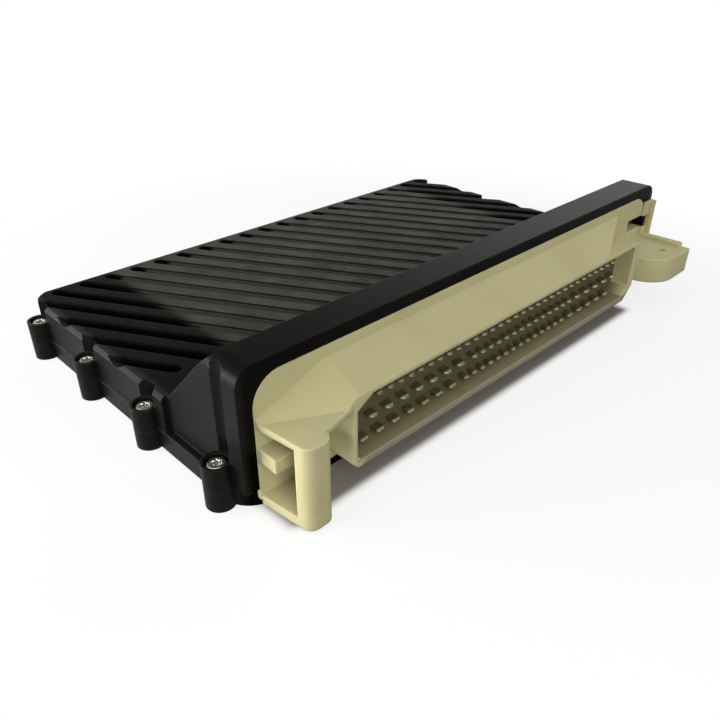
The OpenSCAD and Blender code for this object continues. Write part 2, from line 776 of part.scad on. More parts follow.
// Flat chip with bent leads along its two long sides
module small_outline(length, width, height, leads, pitch) {
  translate([-length / 2, -width / 2, board_top + 0.15]) cube([length, width, height]);
  for (side = [-1, 1])
    for (i = [0:leads - 1])
      translate([(i - (leads - 1) / 2) * pitch, side * width / 2, board_top]) {
        translate([-0.22, side > 0 ? -0.2 : -0.8, 0.7]) cube([0.44, 1, 0.2]);
        translate([-0.22, side > 0 ? 0.6 : -0.8, 0]) cube([0.44, 0.2, 0.9]);
        translate([-0.22, side > 0 ? 0.6 : -1.4, 0]) cube([0.44, 0.8, 0.2]);
      }
}

processor_x = 4;
processor_y = 70;
processor_size = 20;

module processor_body() {
  color([0.06, 0.06, 0.07]) translate([processor_x, front_y + processor_y, board_top + 0.2])
    difference() {
      translate([-processor_size / 2, -processor_size / 2, 0]) cube([processor_size, processor_size, 1.4]);
      translate([-processor_size / 2 + 2, processor_size / 2 - 2, 1.2]) cylinder(d = 1.6, h = 1);
    }
}

module processor_leads() {
  color([0.75, 0.75, 0.72]) translate([processor_x, front_y + processor_y, board_top])
    for (turn = [0:90:270])
      rotate(turn)
        for (i = [-9:9])
          translate([i * 0.95 - 0.2, processor_size / 2, 0]) {
            translate([0, 0, 0.7]) cube([0.4, 0.6, 0.2]);
            translate([0, 0.4, 0]) cube([0.4, 0.2, 0.9]);
            translate([0, 0.4, 0]) cube([0.4, 0.8, 0.2]);
          }
}

module memory_chip() {
  color([0.06, 0.06, 0.07]) translate([30, front_y + 76, 0]) small_outline(10, 7.5, 1.8, 8, 1.2);
}

module injector_drivers() {
  color([0.06, 0.06, 0.07]) translate([0, front_y, 0])
    for (x = [-56, -40, -24, 24])
      translate([x, 46, 0]) small_outline(12.8, 7.5, 2.3, 10, 1.27);
}

// Flat power package with a metal tab and two legs
module power_package(width, depth, height) {
  translate([-width / 2, -depth / 2, board_top + 0.2]) cube([width, depth, height]);
  translate([-width / 2 + 0.4, -depth / 2, board_top]) cube([width - 0.8, depth + 1.4, 0.6]);
  for (x = [-width / 3, width / 3])
    translate([x - 0.4, -depth / 2 - 2, board_top]) cube([0.8, 2.4, 0.6]);
}

module ignition_drivers() {
  color([0.07, 0.07, 0.08]) translate([0, front_y, 0])
    for (i = [0:5])
      translate([-64 + i * 10, 62, 0]) power_package(6.6, 6.1, 2.2);
}

module supply_regulator() {
  color([0.07, 0.07, 0.08]) translate([58, front_y + 48, 0]) power_package(10, 9, 4.2);
}

// Lying capacitors in the tall space behind the frame
module reservoir_capacitors() {
  color([0.16, 0.18, 0.24]) translate([0, front_y, 0])
    for (x = [-52, -30, 34])
      translate([x, 27.2, board_top + 4]) rotate([0, 90, 0]) cylinder(d = 8, h = 14);
}

module supply_inductor() {
  color([0.13, 0.13, 0.14]) translate([58, front_y + 68, board_top])
    difference() {
      translate([-6, -6, 0]) cube([12, 12, 5.4]);
      translate([0, 0, 4.6]) cylinder(d = 8, h = 2);
    }
}

module clock_crystal() {
  color([0.74, 0.75, 0.76]) translate([4, front_y + 90, board_top])
    linear_extrude(3.4) {
      square([6.8, 4.6], center = true);
      for (side = [-1, 1]) translate([side * 3.4, 0]) circle(d = 4.6);
    }
}

module bus_transceivers() {
  color([0.06, 0.06, 0.07]) translate([0, front_y, 0])
    for (x = [46, 58]) translate([x, 88, 0]) small_outline(5, 4, 1.5, 4, 1.2);
}

module surge_diode() {
  color([0.07, 0.07, 0.08]) translate([44, front_y + 60, board_top]) {
    translate([-3.5, -3, 0.2]) cube([7, 6, 2.2]);
    for (x = [-4.2, 3]) translate([x, -1.5, 0]) cube([1.2, 3, 0.8]);
  }
}

module chip_resistors() {
  color([0.12, 0.12, 0.12]) translate([0, front_y, 0])
    for (row = [0:2])
      for (i = [0:9])
        translate([-62 + i * 5, 82 + row * 6, board_top]) cube([2, 1.25, 0.6]);
}

module chip_capacitors() {
  color([0.6, 0.5, 0.36]) translate([0, front_y, 0]) {
    for (i = [0:7]) translate([-16 + i * 5, 54, board_top]) cube([2, 1.25, 1.1]);
    for (i = [0:5]) translate([22, 60 + i * 2.4, board_top]) cube([2, 1.25, 1.1]);
  }
}

upper_housing();
lower_housing();
case_screws();
housing_seal();
header_body();
header_seal();
signal_pins_top();
signal_pins_middle();
signal_pins_bottom();
power_pins_middle();
power_pins_bottom();
header_screws();
circuit_board();
board_screws();
heat_pads();
processor_body();
processor_leads();
memory_chip();
injector_drivers();
ignition_drivers();
supply_regulator();
reservoir_capacitors();
supply_inductor();
clock_crystal();
bus_transceivers();
surge_diode();
chip_resistors();
chip_capacitors();
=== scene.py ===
# %% [markdown]
# # Dressing an engine control unit
# The solids of the unit are already exact: a finned casting in two halves, a plug header, blades and a
# board. This lesson gives them soft edges, real finishes, a studio and the camera of the photograph.

# %% Load the solids
import json
import math
import bpy
import bmesh
from mathutils import Matrix, Vector


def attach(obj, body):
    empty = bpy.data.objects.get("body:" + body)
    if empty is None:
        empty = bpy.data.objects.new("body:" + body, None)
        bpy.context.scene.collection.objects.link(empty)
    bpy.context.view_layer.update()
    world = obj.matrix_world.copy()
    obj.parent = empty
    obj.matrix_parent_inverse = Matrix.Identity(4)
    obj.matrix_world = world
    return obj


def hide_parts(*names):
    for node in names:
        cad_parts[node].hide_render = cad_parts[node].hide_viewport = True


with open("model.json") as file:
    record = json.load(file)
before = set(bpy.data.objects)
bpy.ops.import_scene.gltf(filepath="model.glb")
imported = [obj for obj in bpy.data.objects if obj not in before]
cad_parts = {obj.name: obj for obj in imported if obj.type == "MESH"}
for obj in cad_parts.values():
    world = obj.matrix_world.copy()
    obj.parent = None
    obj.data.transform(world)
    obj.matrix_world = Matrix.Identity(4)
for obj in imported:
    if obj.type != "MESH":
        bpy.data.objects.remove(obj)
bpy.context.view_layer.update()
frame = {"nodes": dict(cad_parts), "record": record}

MM = 0.001
nodes = frame["nodes"]

# %% [markdown]
# ## The camera
# The unit was seen from the front left, about 31 degrees above the table and from close by, so the plug
# header looks large and the rear edge small. A camera could be set by eye, but a fit to straight edges is
# surer, and the place and the focal length below come from one. The small shifts centre the picture.

# %% Place the camera
EYE = Vector((-165.0, -166.16, 118.41)) * MM
AIM = Vector((0.0, 2.73, -23.13)) * MM
SENSOR_WIDTH = 36.0
FOCAL_LENGTH = 34.549
SHIFT_ACROSS = 0.0029
SHIFT_UP = -0.0018
NEAREST = 0.01

camera_data = bpy.data.cameras.new("photo_camera")
camera_data.sensor_width = SENSOR_WIDTH
camera_data.lens = FOCAL_LENGTH
camera_data.shift_x = SHIFT_ACROSS
camera_data.shift_y = SHIFT_UP
camera_data.clip_start = NEAREST
camera = bpy.data.objects.new("photo_camera", camera_data)
camera.location = EYE
camera.rotation_euler = (AIM - EYE).to_track_quat("-Z", "Y").to_euler()
bpy.context.scene.collection.objects.link(camera)
bpy.context.scene.camera = camera
print("camera at", tuple(round(c, 4) for c in EYE))

# %% [markdown]
# ## Helpers for finishes
# Every finish starts from one shader with a few values set on its sockets. Small helpers add a node and
# link two sockets, so each finish below reads like a short recipe.

# %% Node helpers
def new_finish(name, roughness, metallic=0.0):
    material = bpy.data.materials.new(name)
    material.use_nodes = True
    shader = material.node_tree.nodes["Principled BSDF"]
    shader.inputs["Roughness"].default_value = roughness
    shader.inputs["Metallic"].default_value = metallic
    return material, material.node_tree, shader


def add(tree, kind, **values):
    node = tree.nodes.new(kind)
    for key, value in values.items():
        if key in node.inputs:
            node.inputs[key].default_value = value
        else:
            setattr(node, key, value)
    return node


def noise_on_object(tree, scale, detail=4.0, roughness=0.5):
    where = tree.nodes.get("where") or add(tree, "ShaderNodeTexCoord")
    where.name = "where"
    noise = add(tree, "ShaderNodeTexNoise", Scale=scale, Detail=detail, Roughness=roughness)
    tree.links.new(where.outputs["Object"], noise.inputs["Vector"])
    return noise


def ramp(tree, source, stops):
    node = add(tree, "ShaderNodeValToRGB")
    elements = node.color_ramp.elements
    while len(elements) < len(stops):
        elements.new(0.5)
    for element, (place, colour) in zip(elements, stops):
        element.position = place
        element.color = (*colour, 1.0)
    tree.links.new(source, node.inputs["Fac"])
    return node


def round_edges(tree, radius):
    return add(tree, "ShaderNodeBevel", samples=8, Radius=radius)


def bump(tree, height, strength, distance, below=None):
    node = add(tree, "ShaderNodeBump", Strength=strength, Distance=distance)
    tree.links.new(height, node.inputs["Height"])
    if below is not None:
        tree.links.new(below.outputs["Normal"], node.inputs["Normal"])
    return node


print("node helpers ready")

# %% [markdown]
# ## Helpers for zones
# A stain or a film of dust sits in one place, so its share is found from the object's own coordinates. A
# step turns one coordinate into a share from zero to one, and a zone is one only where all of its steps
# are. The other helpers use such a share: they tint a colour, or move a number from one value to another.

# %% Zone helpers
def place_on_object(tree):
    place = add(tree, "ShaderNodeSeparateXYZ")
    tree.links.new(tree.nodes["where"].outputs["Object"], place.inputs["Vector"])
    return place.outputs["X"], place.outputs["Y"], place.outputs["Z"]


def step_at(tree, source, low, high):
    node = add(tree, "ShaderNodeMapRange", interpolation_type="SMOOTHSTEP")
    node.inputs["From Min"].default_value = low
    node.inputs["From Max"].default_value = high
    tree.links.new(source, node.inputs["Value"])
    return node.outputs["Result"]


def joined(tree, operation, first, second):
    node = add(tree, "ShaderNodeMath", operation=operation)
    tree.links.new(first, node.inputs[0])
    tree.links.new(second, node.inputs[1])
    return node.outputs["Value"]


def zone(tree, *shares):
    result = shares[0]
    for share in shares[1:]:
        result = joined(tree, "MULTIPLY", result, share)
    return result


def tinted(tree, share, plain, stained):
    node = add(tree, "ShaderNodeMix", data_type="RGBA")
    tree.links.new(share, node.inputs["Factor"])
    tree.links.new(plain, node.inputs["A"])
    node.inputs["B"].default_value = (*stained, 1.0)
    return node.outputs["Result"]


def from_to(tree, share, none, full):
    node = add(tree, "ShaderNodeMapRange")
    node.inputs["To Min"].default_value = none
    node.inputs["To Max"].default_value = full
    tree.links.new(share, node.inputs["Value"])
    return node.outputs["Result"]


def raised(tree, base, share, amount):
    node = add(tree, "ShaderNodeMath", operation="MULTIPLY_ADD")
    tree.links.new(share, node.inputs[0])
    node.inputs[1].default_value = amount
    tree.links.new(base, node.inputs[2])
    return node.outputs["Value"]


print("zone helpers ready")

# %% [markdown]
# ## Black casting
# The two castings are die-cast and coated black, with a fine grain from the die and soft cloudy patches.
# Two noises make the grain and the clouds. Dust lies on the fins in the middle of the plate and in the
# shallow grooves between them, and these tints are also painted light that lifts the fin tops and the
# shade in those grooves. The deep grooves get a painted shade that keeps them nearly black. Such tints
# could be painted on a picture that is wrapped round the casting, but zones need no picture and stay
# clean at any distance.

# %% Casting colour
FIN_TOP = 18.2 * MM
FIN_DUSTY = 17.6 * MM
GROOVE_DARK = 16.9 * MM
PLATE_FRONT = -30.0 * MM
PLATE_REAR = 58.5 * MM
PLATE_SIDE = 96.8 * MM
ISLAND_LEFT = -69.0 * MM
ISLAND_RIGHT = 78.0 * MM
SILT_REAR = 53.5 * MM
COAT_DARK = (0.0034, 0.0033, 0.003)
COAT_LIGHT = (0.0058, 0.0056, 0.005)
FIN_DUST_AND_LIGHT_TONE = (0.098, 0.097, 0.087)
GROOVE_SILT_AND_LIGHT_TONE = (0.046, 0.0455, 0.0405)
GROOVE_SHADE_TONE = (0.002, 0.002, 0.0018)

casting, tree, shader = new_finish("casting_black", 0.45)
clouds = noise_on_object(tree, 60.0, 5.0, 0.6)
coat = ramp(tree, clouds.outputs["Fac"], [(0.3, COAT_DARK), (0.7, COAT_LIGHT)])
across, along, up = place_on_object(tree)
island = zone(tree,
              step_at(tree, along, PLATE_FRONT - 6.0 * MM, PLATE_FRONT),
              step_at(tree, across, ISLAND_LEFT - 3.0 * MM, ISLAND_LEFT + 2.0 * MM),
              step_at(tree, across, ISLAND_RIGHT + 3.0 * MM, ISLAND_RIGHT - 2.0 * MM))
# Dust on the fin tops, which is also a painted light that lifts the tops of the middle fins.
fin_dust_and_light = zone(tree,
            step_at(tree, up, FIN_DUSTY, FIN_TOP - 0.1 * MM),
            step_at(tree, up, FIN_TOP + 0.4 * MM, FIN_TOP + 0.1 * MM),
            island,
            clouds.outputs["Fac"])
tone = tinted(tree, fin_dust_and_light, coat.outputs["Color"], FIN_DUST_AND_LIGHT_TONE)
# Silt in the shallow grooves, which is also a painted light that lifts the shade in them.
silt_and_light_zone = zone(tree, island, step_at(tree, along, SILT_REAR + 1.5 * MM, SILT_REAR - 1.5 * MM))
groove_silt_and_light = zone(tree, silt_and_light_zone, step_at(tree, up, FIN_DUSTY, GROOVE_DARK))
tone = tinted(tree, groove_silt_and_light, tone, GROOVE_SILT_AND_LIGHT_TONE)
# Painted shade: the deep grooves are tinted nearly black.
groove_shade = zone(tree,
              step_at(tree, up, FIN_TOP - 0.3 * MM, GROOVE_DARK),
              step_at(tree, along, PLATE_REAR, PLATE_REAR - 0.5 * MM),
              step_at(tree, across, -PLATE_SIDE, 0.5 * MM - PLATE_SIDE),
              step_at(tree, across, PLATE_SIDE, PLATE_SIDE - 0.5 * MM),
              from_to(tree, silt_and_light_zone, 1.0, 0.0))
tone = tinted(tree, groove_shade, tone, GROOVE_SHADE_TONE)
tree.links.new(tone, shader.inputs["Base Color"])
print("finish:", casting.name)

# %% [markdown]
# ## Gloss of the casting
# The coat is nearly matte on the plate and on the front. A painted shade takes the last shine from the
# deep grooves and from the upper edge at the left. A painted sheen makes the side walls and the top of
# the frame, most of all towards its right end, shine a little more. The edges of a casting are never
# sharp. A bevel node rounds them in the light only, so the exact solids stay as they are.

# %% Casting gloss
EDGE_START = 16.8 * MM
CREST = 40.5 * MM
CREST_DULL = -90.0 * MM
CREST_BRIGHT = 40.0 * MM
SATIN = 0.015
DULL = 0.0
PAINTED_TOP_SHEEN = 0.05
PAINTED_SIDE_SHEEN = 0.062
WARM_GLOSS = (1.0, 0.97, 0.9, 1.0)
CAST_EDGE = 0.6 * MM
CAST_GRAIN = 0.12 * MM

shader.inputs["Specular Tint"].default_value = WARM_GLOSS
# Painted shade: no shine on the deep grooves and on the upper edge at the left.
dulled_edge_shade = zone(tree,
            step_at(tree, across, -PLATE_SIDE, -PLATE_SIDE - 0.4 * MM),
            step_at(tree, up, EDGE_START, EDGE_START + 0.3 * MM),
            step_at(tree, along, PLATE_FRONT - 3.0 * MM, PLATE_FRONT))
gloss = from_to(tree, joined(tree, "MAXIMUM", groove_shade, dulled_edge_shade), SATIN, DULL)
# Painted sheen on the top of the frame, growing stronger towards its right end.
top_sheen_zone = zone(tree,
             step_at(tree, up, CREST - 0.5 * MM, CREST - 0.1 * MM),
             step_at(tree, across, CREST_DULL, CREST_BRIGHT))
gloss = raised(tree, gloss, top_sheen_zone, PAINTED_TOP_SHEEN)
# Painted sheen on the side walls.
outward = add(tree, "ShaderNodeMath", operation="ABSOLUTE")
tree.links.new(across, outward.inputs[0])
side_sheen_zone = zone(tree,
             step_at(tree, outward.outputs["Value"], PLATE_SIDE - 2.0 * MM, PLATE_SIDE),
             step_at(tree, up, CREST - 1.0 * MM, CREST - 3.0 * MM))
gloss = raised(tree, gloss, side_sheen_zone, PAINTED_SIDE_SHEEN)
tree.links.new(gloss, shader.inputs["Specular IOR Level"])
grain = noise_on_object(tree, 2600.0, 2.0, 0.5)
rough = ramp(tree, grain.outputs["Fac"], [(0.2, (0.38, 0.38, 0.38)), (0.8, (0.54, 0.54, 0.54))])
tree.links.new(rough.outputs["Color"], shader.inputs["Roughness"])
skin = bump(tree, grain.outputs["Fac"], 0.25, CAST_GRAIN, round_edges(tree, CAST_EDGE))
tree.links.new(skin.outputs["Normal"], shader.inputs["Normal"])
print("gloss from", SATIN, "to", SATIN + PAINTED_SIDE_SHEEN)

# %% [markdown]
# ## Cream header plastic
# The header is glass-filled plastic in a warm cream colour. It has a matte skin, slightly uneven in tone,
# with a faint flow pattern from moulding. A plain matte shader would look like paint, so some light goes
# a few millimetres below the skin, which softens the shade in the hook. Inside the socket, shade is
# painted: the inner walls darken towards the floor, the floor is tinted dark brown, and the lower wall
# and the lower rim are tinted greyer.

# %% Header finish
SOCKET_FLOOR = -62.9 * MM
SOCKET_MOUTH = -69.6 * MM
SOCKET_LEFT = -70.7 * MM
SOCKET_RIGHT = 68.1 * MM
SOCKET_LOW = 7.3 * MM
SOCKET_HIGH = 25.9 * MM
SOFT = 0.05 * MM
CREAM_DARK = (0.47, 0.428, 0.236)
CREAM_LIGHT = (0.53, 0.488, 0.28)
SOCKET_WALL_SHADE_TONE = (0.16, 0.145, 0.085)
LOW_WALL_SHADE_TONE = (0.26, 0.245, 0.14)
LOW_WALL_DEEP_SHADE_TONE = (0.17, 0.155, 0.075)
FLOOR_SHADE_TONE = (0.095, 0.09, 0.045)
RIM_SHADE_TONE = (0.28, 0.262, 0.19)
MOULD_EDGE = 0.7 * MM
MOULD_GRAIN = 0.1 * MM

cream, tree, shader = new_finish("header_cream", 0.52)
shader.inputs["Specular IOR Level"].default_value = 0.008
shader.inputs["Subsurface Weight"].default_value = 0.6
shader.inputs["Subsurface Radius"].default_value = (1.0, 0.85, 0.5)
shader.inputs["Subsurface Scale"].default_value = 2.5 * MM
flow = noise_on_object(tree, 45.0, 4.0, 0.55)
plastic = ramp(tree, flow.outputs["Fac"], [(0.3, CREAM_DARK), (0.7, CREAM_LIGHT)])
across, along, up = place_on_object(tree)
inside = zone(tree,
              step_at(tree, across, SOCKET_LEFT - SOFT, SOCKET_LEFT),
              step_at(tree, across, SOCKET_RIGHT + SOFT, SOCKET_RIGHT),
              step_at(tree, up, SOCKET_LOW - SOFT, SOCKET_LOW),
              step_at(tree, up, SOCKET_HIGH + SOFT, SOCKET_HIGH))
inward = step_at(tree, along, SOCKET_MOUTH, SOCKET_FLOOR)
# Painted shade: the inner walls darken towards the socket floor, except near the right wall.
socket_wall_shade = zone(tree, inside, inward,
            step_at(tree, across, SOCKET_RIGHT - 0.3 * MM, SOCKET_RIGHT - 1.0 * MM))
tone = tinted(tree, socket_wall_shade, plastic.outputs["Color"], SOCKET_WALL_SHADE_TONE)
# Painted shade on the lower inner wall, deeper towards the floor.
low_wall_shade = zone(tree, inside, step_at(tree, up, SOCKET_LOW + 0.6 * MM, SOCKET_LOW + 0.2 * MM))
tone = tinted(tree, low_wall_shade, tone, LOW_WALL_SHADE_TONE)
tone = tinted(tree, zone(tree, low_wall_shade, inward), tone, LOW_WALL_DEEP_SHADE_TONE)
# Painted shade: the socket floor is tinted dark brown.
floor_shade = zone(tree, inside, step_at(tree, along, SOCKET_FLOOR - 0.3 * MM, SOCKET_FLOOR - 0.1 * MM))
tone = tinted(tree, floor_shade, tone, FLOOR_SHADE_TONE)
# Painted shade: the lower rim of the socket mouth is tinted greyer.
rim_shade = zone(tree,
           step_at(tree, along, SOCKET_MOUTH + 0.6 * MM, SOCKET_MOUTH + 0.2 * MM),
           step_at(tree, up, SOCKET_LOW + 0.2 * MM, SOCKET_LOW),
           step_at(tree, across, SOCKET_LEFT, SOCKET_LEFT + 4.0 * MM))
tone = tinted(tree, rim_shade, tone, RIM_SHADE_TONE)
tree.links.new(tone, shader.inputs["Base Color"])
fibre = noise_on_object(tree, 1800.0, 3.0, 0.6)
skin = bump(tree, fibre.outputs["Fac"], 0.15, MOULD_GRAIN, round_edges(tree, MOULD_EDGE))
tree.links.new(skin.outputs["Normal"], shader.inputs["Normal"])
print("finish:", cream.name)

# %% [markdown]
# ## Metals
# The blades are tinned and a little warm in colour. The screws are zinc plated, and the leads and the
# crystal's can inside are bright. At this size single scratches don't show, so a noise that changes the
# roughness is enough to break the shine.

# %% Metal finishes
def metal_finish(name, dark, light, low, high, scale):
    material, tree, shader = new_finish(name, 0.3, 1.0)
    spots = noise_on_object(tree, scale, 4.0, 0.6)
    tone = ramp(tree, spots.outputs["Fac"], [(0.3, dark), (0.7, light)])
    tree.links.new(tone.outputs["Color"], shader.inputs["Base Color"])
    rough = ramp(tree, spots.outputs["Fac"], [(0.25, (low, low, low)), (0.75, (high, high, high))])
    tree.links.new(rough.outputs["Color"], shader.inputs["Roughness"])
    return material


tinned = metal_finish("blade_tin", (0.19, 0.17, 0.1), (0.3, 0.27, 0.17), 0.28, 0.42, 900.0)
zinc = metal_finish("screw_zinc", (0.3, 0.29, 0.26), (0.6, 0.58, 0.53), 0.25, 0.42, 700.0)
lead_metal = metal_finish("lead_tin", (0.6, 0.6, 0.58), (0.75, 0.75, 0.73), 0.3, 0.45, 1500.0)
can_metal = metal_finish("crystal_can", (0.62, 0.62, 0.62), (0.74, 0.74, 0.74), 0.25, 0.38, 500.0)
print("metals:", tinned.name, zinc.name, lead_metal.name, can_metal.name)

# %% [markdown]
# ## Blade tips
# The tips of the blades get a painted highlight: near their ends they are lighter and less metallic
# than the rest. The tips could be pieces of their own, but the blades are one solid, so a zone near
# their ends is tinted instead.

# %% Painted highlight on blade tips
TIP_START = -65.1 * MM
TIP_END = -65.5 * MM
TIP_FACE = -66.15 * MM
TIP_HIGHLIGHT_TONE = (0.58, 0.54, 0.37)
BLADE_BODY_METAL = 0.85
TIP_HIGHLIGHT_METAL = 0.35

tree = tinned.node_tree
shader = tree.nodes["Principled BSDF"]
across, along, up = place_on_object(tree)
# Painted highlight: near their ends the blades are lighter and less metallic.
tip_highlight = zone(tree,
           step_at(tree, along, TIP_START, TIP_END),
           step_at(tree, along, TIP_FACE, TIP_FACE + 0.1 * MM))
blade_tone = shader.inputs["Base Color"].links[0].from_socket
tree.links.new(tinted(tree, tip_highlight, blade_tone, TIP_HIGHLIGHT_TONE), shader.inputs["Base Color"])
tree.links.new(from_to(tree, tip_highlight, BLADE_BODY_METAL, TIP_HIGHLIGHT_METAL), shader.inputs["Metallic"])
print("tips rubbed over", round((TIP_START - TIP_FACE) / MM, 2), "mm")

# %% [markdown]
# ## Finishes of the inner pieces
# The board, chips, rubber and ceramics are closed in, but they are finished too, because the part may be
# opened. Each has its own colour pair and grain.

# %% Inner finishes
def plain_finish(name, dark, light, roughness, scale, depth):
    material, tree, shader = new_finish(name, roughness)
    patches = noise_on_object(tree, scale, 4.0, 0.55)
    tone = ramp(tree, patches.outputs["Fac"], [(0.3, dark), (0.7, light)])
    tree.links.new(tone.outputs["Color"], shader.inputs["Base Color"])
    skin = bump(tree, patches.outputs["Fac"], 0.2, depth)
    tree.links.new(skin.outputs["Normal"], shader.inputs["Normal"])
    return material


rubber = plain_finish("seal_rubber", (0.018, 0.018, 0.02), (0.032, 0.032, 0.034), 0.75, 900.0, 0.0001)
laminate = plain_finish("board_laminate", (0.012, 0.09, 0.04), (0.02, 0.13, 0.06), 0.35, 400.0, 0.00004)
moulding = plain_finish("chip_black", (0.016, 0.016, 0.017), (0.028, 0.028, 0.03), 0.6, 1500.0, 0.00005)
sleeve = plain_finish("capacitor_can", (0.02, 0.024, 0.045), (0.03, 0.036, 0.07), 0.3, 300.0, 0.00003)
ferrite = plain_finish("ferrite_grey", (0.03, 0.03, 0.032), (0.05, 0.05, 0.052), 0.7, 1200.0, 0.0001)
ceramic = plain_finish("chip_ceramic", (0.25, 0.18, 0.1), (0.36, 0.27, 0.16), 0.5, 1500.0, 0.00004)
silicone = plain_finish("pad_silicone", (0.2, 0.24, 0.3), (0.27, 0.31, 0.37), 0.7, 600.0, 0.0001)
print("inner finishes made")

# %% [markdown]
# ## Dress the solids
# The record of the part names a material slot for each solid, so a short table of slots and finishes is
# enough to dress them all.

# %% Give each solid its finish
FINISH = {
    "casting_black": casting, "header_plastic": cream, "pin_metal": tinned, "screw_steel": zinc,
    "seal_rubber": rubber, "board_laminate": laminate, "chip_black": moulding, "lead_tin": lead_metal,
    "capacitor_can": sleeve, "ferrite_grey": ferrite, "crystal_can": can_metal, "chip_ceramic": ceramic,
    "pad_silicone": silicone,
}
slot_of = {part["node"]: part["material_slot"] for part in frame["record"]["subparts"]}
for name, solid in nodes.items():
    solid.data.materials.clear()
    solid.data.materials.append(FINISH[slot_of[name]])
print("finished solids:", len(nodes))

# %% [markdown]
# ## Case screws
# The solid screws have a plain six-sided recess. In the photograph the heads have a rounded rim and a
# recess with six lobes, so the eight screws are made again as one piece. A screw could be spun from a
# profile, but lobes are not round. So a disc is extruded from ring to ring, and each ring is a radius, a
# height and the swing of its lobes. The finished screw is then copied to every boss.

# %% Turn the screws
HEAD_RADIUS = 2.6 * MM
SHANK_RADIUS = 1.5 * MM
TIP_HEIGHT = 1.5 * MM
SEAT_HEIGHT = 10.4 * MM
TOP_HEIGHT = 12.4 * MM
LOBE_RADIUS = 1.2 * MM
LOBE_SWING = 0.24 * MM
RECESS_FLOOR = 11.4 * MM
SIDES = 24
LOBES = 6
BOSS_X = 99.3 * MM
BOSS_Y = [(-50.6 + 33.6 * row) * MM for row in range(4)]
screw_rings = [
    (SHANK_RADIUS, TIP_HEIGHT, 0.0),
    (SHANK_RADIUS, SEAT_HEIGHT, 0.0),
    (HEAD_RADIUS, SEAT_HEIGHT, 0.0),
    (HEAD_RADIUS, TOP_HEIGHT - 0.55 * MM, 0.0),
    (HEAD_RADIUS - 0.18 * MM, TOP_HEIGHT - 0.18 * MM, 0.0),
    (HEAD_RADIUS - 0.55 * MM, TOP_HEIGHT, 0.0),
    (LOBE_RADIUS + 0.15 * MM, TOP_HEIGHT - 0.05 * MM, LOBE_SWING),
    (LOBE_RADIUS, TOP_HEIGHT - 0.25 * MM, LOBE_SWING),
    (LOBE_RADIUS - 0.1 * MM, RECESS_FLOOR, LOBE_SWING),
]


def lobe_sign(corner):
    """One on a lobe, minus one between two lobes and zero on the flank of a lobe."""
    return round(math.cos(LOBES * math.atan2(corner.co.y, corner.co.x)))


def turn_screw(shape, rings):
    """Grows a screw on the z axis: the end face is extruded, then lifted and scaled to the next ring."""
    old_radius, old_height, old_swing = rings[0]
    place = Matrix.Translation((0.0, 0.0, old_height))
    disc = bmesh.ops.create_circle(shape, cap_ends=True, radius=old_radius, segments=SIDES, matrix=place)
    bottom = disc["verts"][0].link_faces[0]
    end = bottom
    for radius, height, swing in rings[1:]:
        grown = bmesh.ops.extrude_face_region(shape, geom=[end])["geom"]
        if end is not bottom:
            bmesh.ops.delete(shape, geom=[end], context="FACES_ONLY")
        end = next(piece for piece in grown if isinstance(piece, bmesh.types.BMFace))
        bmesh.ops.translate(shape, vec=(0.0, 0.0, height - old_height), verts=end.verts[:])
        groups = {1: [], 0: [], -1: []}
        for corner in end.verts:
            groups[lobe_sign(corner)].append(corner)
        for sign, corners in groups.items():
            growth = (radius + sign * swing) / (old_radius + sign * old_swing)
            bmesh.ops.scale(shape, vec=(growth, growth, 1.0), verts=corners)
        old_radius, old_height, old_swing = radius, height, swing


shape = bmesh.new()
turn_screw(shape, screw_rings)
pattern_corners = shape.verts[:]
pattern = pattern_corners + shape.edges[:] + shape.faces[:]
for x in (-BOSS_X, BOSS_X):
    for y in BOSS_Y:
        copied = bmesh.ops.duplicate(shape, geom=pattern)["geom"]
        corners = [piece for piece in copied if isinstance(piece, bmesh.types.BMVert)]
        bmesh.ops.translate(shape, vec=(x, y, 0.0), verts=corners)
bmesh.ops.delete(shape, geom=pattern_corners, context="VERTS")
bmesh.ops.recalc_face_normals(shape, faces=shape.faces)
screw_mesh = bpy.data.meshes.new("turned_screws")
shape.to_mesh(screw_mesh)
shape.free()
screw_mesh.materials.append(zinc)
turned_screws = bpy.data.objects.new("turned_screws", screw_mesh)
bpy.context.scene.collection.objects.link(turned_screws)
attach(turned_screws, "root")
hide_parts("case_screws")
print("screws:", len(BOSS_Y) * 2, "faces:", len(screw_mesh.polygons))

# %% [markdown]
# ## The table
# The unit lies on a pale table. Stronger lamps would turn the table white, but would wash out the unit
# too. So the table glows white where it is seen directly, in a gloss or through a clear piece, and a
# little less near the unit, where the shadow shows through. Under the header it hardly glows and is
# darker itself, as in the deep shade of the photograph. For bounced light it is dark, so that it doesn't
# light the unit from below.

# %% Lay the table
TABLE_HALF = 3.0
TABLE_DROP = 0.2 * MM
NEAR_REACH = 130.0 * MM
FAR_REACH = 220.0 * MM
NEAR_GLOW = 0.78
SHADE_GLOW = 0.02
SHADE_LEFT = -96.0 * MM
SHADE_RIGHT = 75.0 * MM
SHADE_FRONT = -72.5 * MM
SHADE_REAR = 50.0 * MM
WHITE = (1.0, 1.0, 1.0, 1.0)
TABLE_PALE = (0.95, 0.95, 0.95, 1.0)
TABLE_SHADE = (0.21, 0.198, 0.16, 1.0)
TABLE_BOUNCE = (0.07, 0.068, 0.064, 1.0)


def seen_directly(tree, path):
    """One for a ray that shows the surround: from the camera, from a gloss or through a clear piece."""
    share = path.outputs["Is Camera Ray"]
    for kind in ("Is Glossy Ray", "Is Transmission Ray"):
        share = joined(tree, "MAXIMUM", share, path.outputs[kind])
    return share


